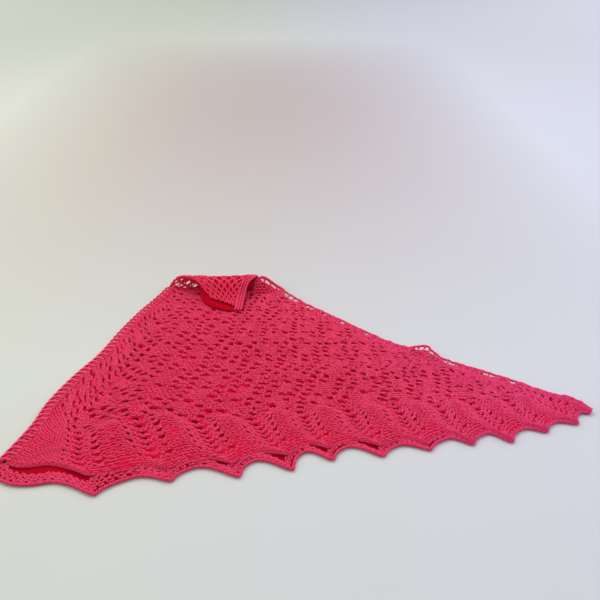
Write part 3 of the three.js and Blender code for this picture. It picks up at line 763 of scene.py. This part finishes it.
grid_r, grid_across = np.meshgrid(skin_r, np.linspace(0.3, 1.15, 4), indexing="ij")
edge_skin = edge_line(UPPER, grid_r, grid_across) - [0, 0, 1.0]
selvedge = fabric("top_edge_selvedge", edge_skin, SHADOWED_BACKING, is_open=edge_eyelet, offset=0.0)
rope, bars = rope_and_bars(UPPER, lift=0.0)
top_edge = yarn("top_edge_rope", rope + bars, radius=1.1)
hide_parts("upper_top_band")
rope, bars = rope_and_bars(LOWER, lift=0.2)
tucked_edge = yarn("lower_top_edge_rope", rope + bars, radius=0.95)
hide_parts("lower_top_band")
declare(UPPER, FOLD_KNIT, START_KNIT)
declare(LOWER, FOLD_KNIT, START_KNIT)


# Neck corner: both layers of the lace at the shawl's neck, rolled over to the front as one soft
# roll of open mesh. Nothing fastens it: it lies by its own weight.

# Section of the roll by row, from the fold over its top to the front: y, height and how much it
# bulges back to the right, then x of its left and right ends.
TURN = [
    (0, 205.0, 2.6, 0, -241, -53), (1, 211.5, 4.4, 20, -239, -61), (2, 214.5, 10.0, 26, -235, -68),
    (3, 214.5, 18.0, 20, -228, -73), (4, 210.0, 25.5, 11, -217, -78), (5, 201.5, 29.0, 3, -201, -87),
    (6, 191.0, 26.5, 0, -184, -97), (7, 181.5, 20.5, 0, -175, -101), (8, 172.0, 14.5, 0, -166, -103),
    (9, 162.5, 11.0, 0, -160, -104), (10, 153.0, 9.6, 0, -153, -105), (11, 142.0, 8.8, 0, -144, -105),
    (12, 131.5, 8.2, 0, -126, -107),
]
NECK_BAND = 12.0  # width of the garter band
ROLL_ROWS, COURSE = 12, 0.68  # rows of TURN, and rows from one course of the mesh to the next
HALF_WAVES = 12  # of a course across the roll
fold_line = UPPER.place(FOLD, np.linspace(0, COLUMNS, 25))


def turned(j, x_of, out, sag_rows=10):
    """Point on the rolled corner: row of the roll, x from its ends there, height off its middle."""
    j = np.asarray(j, float)
    y, z, bulge, left, right = np.moveaxis(along(TURN, j), -1, 0)
    a, b = along(TURN, np.maximum(j - 0.3, 0)), along(TURN, np.minimum(j + 0.3, ROLL_ROWS))
    dy, dz = b[..., 0] - a[..., 0], b[..., 1] - a[..., 1]
    length = np.hypot(dy, dz)
    x, share = x_of(left, right)
    sag = 1.5 * np.sin(np.pi * share) * np.sin(np.pi * np.clip(j / sag_rows, 0, 1))
    fold_y = np.interp(x, fold_line[:, 0], fold_line[:, 1]) + SEAM
    follow = (fold_y - TURN[0][1]) * np.maximum(0, 1 - j / 4)
    push = bulge * ((x + 234) / 180) ** 3
    return np.stack([x, y + push + follow + dz / length * out, z - sag - dy / length * out], -1)


def flap_x(share):
    """Place across the mesh, from the roll's left end (0) to its band (1)."""
    return lambda left, right: (mix(left, right - NECK_BAND + 0.8, share), share)


def band_x(inside):
    """Place across the band, in millimetres from the roll's right end."""
    return lambda left, right: (right - inside, np.clip(1 - inside / NECK_BAND, 0, 1))


def net_end(share):
    """Row of the roll where the mesh ends and the smooth lining in painted shade shows."""
    return 8.7 + 2.3 * share + 0.22 * np.cos(share * HALF_WAVES * np.pi)


def see_through(i, j):
    """Cells of the ply behind the mesh that are open, at the roll's left end."""
    return 3 < i < 21 and j < 13 + (i > 14) * 3


grid_j, grid_share = np.meshgrid(np.linspace(0, 1, 28), np.linspace(0, 1, 41), indexing="ij")
flap_skin = turned(grid_j * (net_end(grid_share) - 0.2), flap_x(grid_share), 0.2)
# The ground behind the mesh is coloured in painted shade.
flap = fabric("neck_corner", flap_skin, SHADOWED_BACKING, is_open=see_through, offset=0.0)
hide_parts("neck_turnback")
net = []
share = np.linspace(0.0, 1.0, 109)
inner, loose_end = share[share < 0.42], share[share < 0.34]  # where the back ply and loose loops show
for q in range(16):
    wave = 0.33 * np.cos(share * HALF_WAVES * np.pi + np.pi * q) + 0.13 * wander(share * 24, q * 3)
    for off, rise in ((-0.13, 1.5), (0.13, 1.9)):  # two strands to a course
        row = q * COURSE + 0.15 + wave + off
        on_net = row < net_end(share)
        if on_net.sum() > 3:
            net.append(turned(np.clip(row[on_net], 0, ROLL_ROWS), flap_x(share[on_net]), rise))
        if q < 11 and off < 0:
            back_row = row[:len(inner)] + 0.3
            net.append(turned(np.clip(back_row, 0, 9), flap_x(inner), -0.9))
            loose = q * COURSE + 0.2 + 0.3 * np.cos(loose_end * 29 * np.pi + q * 2.2)
            loose = loose + 0.2 * wander(loose_end * 50, q)
            net.append(turned(np.clip(loose, 0, 7.6), flap_x(loose_end), 0.8))
left_end = np.linspace(0.0, 8.0, 60)
for off in (0.0, 0.015):
    net.append(turned(left_end, flap_x(off + 0.006 * np.sin(left_end * 9)), 1.4 + off * 60))
net.append(turned(net_end(share), flap_x(share), 1.4))
share = np.linspace(0, 0.34, 80)
for j, phase in ((3.4, 0.0), (4.3, 1.6), (5.0, 0.6)):  # thick loops that stand off the left end
    off = 2.0 + 1.3 * np.cos(share * 105 + phase)
    net.append(turned(j + 0.35 * np.sin(share * 80 + phase), flap_x(share), off))
# Painted shade: a darker, redder copy of the yarn for the mesh of the roll.
MESH_YARN_SHADOWED = wool("raspberry_shadowed_net", (0.85, 0.026, 0.090), (0.72, 0.015, 0.065), fuzz=0.15)
flap_yarn = yarn("neck_corner_yarn", net, radius=1.25, finish=MESH_YARN_SHADOWED)


# Lining of the neck corner: the inside of the same roll of lace, drawn as a smooth sheet in painted
# shade.
# It swells out at its lower left as a painted shadow, where the roll rests on the body.
LIP_COLUMNS = 6  # of the swelling left side
lip_j, grid_share = np.meshgrid(np.linspace(5.7, ROLL_ROWS, 23), np.linspace(0, 1, 25), indexing="ij")
under_net = turned(lip_j, flap_x(grid_share), -1.2, sag_rows=ROLL_ROWS)
lip_j = lip_j[:, :LIP_COLUMNS]
swell = 13 * smooth(lip_j, 5.7, 8.4) * (1 - 0.75 * smooth(lip_j, 9.5, ROLL_ROWS))
way_out = np.linspace(1, 0, LIP_COLUMNS + 1)[:-1]
lip = under_net[:, :1] + (swell * way_out)[..., None] * np.array([-0.8, -0.55, 0])
drop = smooth(lip_j, 5.7, 8.6)
lip[..., 2] = mix(under_net[:, :1, 2], 6.4, way_out * drop) + 3.0 * np.sin(np.pi * way_out) * drop
shadow_sheet_grid = np.concatenate([lip, under_net], 1)
shadow_sheet = fabric("neck_corner_painted_shadow", shadow_sheet_grid, SHADOW_PAINT, thick=0.8, offset=0.0)


# Garter-stitch band: the first rows of the shawl, knitted to and fro in the same wool as a narrow
# strip with ridges along it. It runs round the roll's right end, open at the back.
grid_j, grid_in = np.meshgrid(np.linspace(0, ROLL_ROWS, 49), np.linspace(0, NECK_BAND, 7), indexing="ij")
band = fabric("garter_band", turned(grid_j, band_x(grid_in), 0.6), SHADOWED_BACKING, thick=1.2,
              is_open=lambda i, j: i < 19 and j < 5, offset=0.0)
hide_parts("neck_band")
ridge_lines = []
along_band = np.linspace(4.6, ROLL_ROWS, 130)
for inside in (1.6, 6.0, 10.4):  # three ridges, in millimetres from the roll's end
    wave = 0.55 * np.sin(along_band * 12 + inside)
    line = turned(along_band, band_x(inside + wave), 2.1)
    line[:, 2] += 0.3 * np.cos(along_band * 24)
    ridge_lines.append(line)
band_yarn = yarn("neck_band_ridges", ridge_lines, radius=1.5, sides=5)


# Standing neck edge: the last of the top edge's eyelets, which stand up behind the band where the
# corner rolls over. It is a two-strand rope on posts of the same yarn, and the knitting goes down
# in front of it.

# Head and foot of the posts: x, y and height of each.
STAND = [
    (0, -88, 203, 21.5, -90, 198, 15.5), (1, -81, 206, 26.0, -82, 199, 19.5),
    (2, -73, 207, 27.0, -73, 199, 20), (3, -63, 207, 20.0, -63, 198, 14),
    (4, -53, 205, 12.5, -52, 196, 8.5), (5, -38, 199, 5.5, -39, 192, 5.5),
]
along_edge = np.linspace(0, 5, 71)
head, foot = along(STAND, along_edge)[:, :3], along(STAND, along_edge)[:, 3:]
heel = foot * [1, 1, 0] + [-1.5, -13, 5.0]
posts = []
for at in np.arange(0.1, 5.1, 1.0):
    for side in (-1, 1):
        ends = along(STAND, at + 0.12 * side * np.cos(np.linspace(0, np.pi, 6)))
        posts.append(mix(ends[:, :3], ends[:, 3:], np.linspace(0, 1, 6)[:, None]))
courses = []
for down in (0, 0.25, 0.5, 0.75, 1):
    weave = 1.7 * np.sin(along_edge * 8 + 12.57 * down)
    courses.append(mix(foot, heel, down) + np.array([0, 0, 1.2]) + weave[:, None] * np.array([0, 1, 0]))
head_rope = twisted(head, reach=1.6, turn=8.0)
standing_edge = yarn("neck_edge_rope", head_rope + posts + courses, radius=1.5)
knit_grid = mix(foot[None], heel[None], np.linspace(0, 1, 7)[:, None, None])
edge_knit = fabric("neck_edge_knit", knit_grid, SHADOWED_BACKING, thick=0.8, offset=0.0)


# Table: a pale, matt, seamless surface. Painted lamp light turns it from greenish on the left to bluish
# on the right, and a faint pink painted shade darkens it behind the shawl.
LEFT_LAMP_TINT, RIGHT_LAMP_TINT = (0.60, 0.62, 0.535, 1), (0.60, 0.615, 0.70, 1)
TABLE_SHADOW_TONE, TABLE_SHADOW_DEPTH, TABLE_SHADOW_WIDTH = (0.20, 0.02, 0.035, 1), 2.6, 1.8
surface = bpy.data.meshes.new("table")
surface.from_pydata([(-7, -4, 0), (7, -4, 0), (7, 9, 0), (-7, 9, 0)], [], [(0, 1, 2, 3)])
paper = bpy.data.materials.new("pale_paper")
paper.use_nodes = True
tree = paper.node_tree
shader = tree.nodes["Principled BSDF"]
shader.inputs["Roughness"].default_value = 0.9
at = Socket(tree, tree.nodes.new("ShaderNodeTexCoord").outputs["Object"])
axes = at.node("ShaderNodeSeparateXYZ", Vector=at)
x, y = Socket(tree, axes.outputs["X"]), Socket(tree, axes.outputs["Y"])
# Painted lamp light: greenish on the left, bluish on the right.
tint = (x * 0.9 + 0.5).blend(LEFT_LAMP_TINT, RIGHT_LAMP_TINT)
# Painted shade: a darker pinkish band on the table behind the shawl.
depth = (y * (TABLE_SHADOW_DEPTH - y) * 0.75).math("MAXIMUM", 0.0)
middle = (1.2 - (x + 0.15) * (x + 0.15) * TABLE_SHADOW_WIDTH).math("MAXIMUM", 0.0)
colour = (depth * middle * 0.26).blend(tint, TABLE_SHADOW_TONE)
tree.links.new(colour.out, shader.inputs["Base Color"])
surface.materials.append(paper)
table = bpy.data.objects.new("table", surface)
bpy.context.scene.collection.objects.link(table)


# Camera and light: the photograph's low view of the shawl, under soft window light from above and
# behind, filled in from both sides. Two far lamps light the table behind the shawl.
FOCAL = 640 / 600 * 36  # 640 pixels of a 600-pixel frame, on a 36 mm film
CAMERA_AT, CAMERA_TILT = (-11, -748, 577.92), 58  # in the tables' millimetres, degrees
FAR_AIM = 2.8  # metres behind the shawl
camera = bpy.data.objects.new("camera", bpy.data.cameras.new("camera"))
camera.data.lens = FOCAL
camera.location = metres(CAMERA_AT)
camera.rotation_euler = (math.radians(CAMERA_TILT), 0, 0)
bpy.context.scene.collection.objects.link(camera)
bpy.context.scene.camera = camera
for name, place, size, power, colour in (
    ("window", (-0.6, 1.2, 2.0), 1.1, 19, (1.0, 0.99, 0.98)),
    ("left", (-2.4, -0.4, 1.6), 1.6, 17, (1.0, 1.0, 0.92)),
    ("right", (2.6, 0.2, 1.8), 1.8, 26, (0.90, 0.92, 1.0)),
    ("far_left", (-2.8, 3.8, 2.6), 2.0, 40, (1.0, 1.0, 0.98)),
    ("far_right", (2.8, 3.8, 2.6), 2.0, 48, (0.98, 0.98, 1.0)),
):
    lamp = bpy.data.objects.new(name, bpy.data.lights.new(name, "AREA"))
    lamp.data.energy, lamp.data.size, lamp.data.color = power, size, colour
    lamp.location = place
    lit = Vector((place[0] * 0.6, FAR_AIM, 0) if "far" in name else (0, 0, 0))
    lamp.rotation_euler = (lit - Vector(place)).to_track_quat("-Z", "Y").to_euler()
    bpy.context.scene.collection.objects.link(lamp)
world = bpy.data.worlds.new("studio")
bpy.context.scene.world = world
world.use_nodes = True
background = world.node_tree.nodes["Background"]
background.inputs["Color"].default_value = (0.97, 0.97, 1.0, 1)
background.inputs["Strength"].default_value = 0.54
bpy.context.scene.view_settings.view_transform = "Standard"
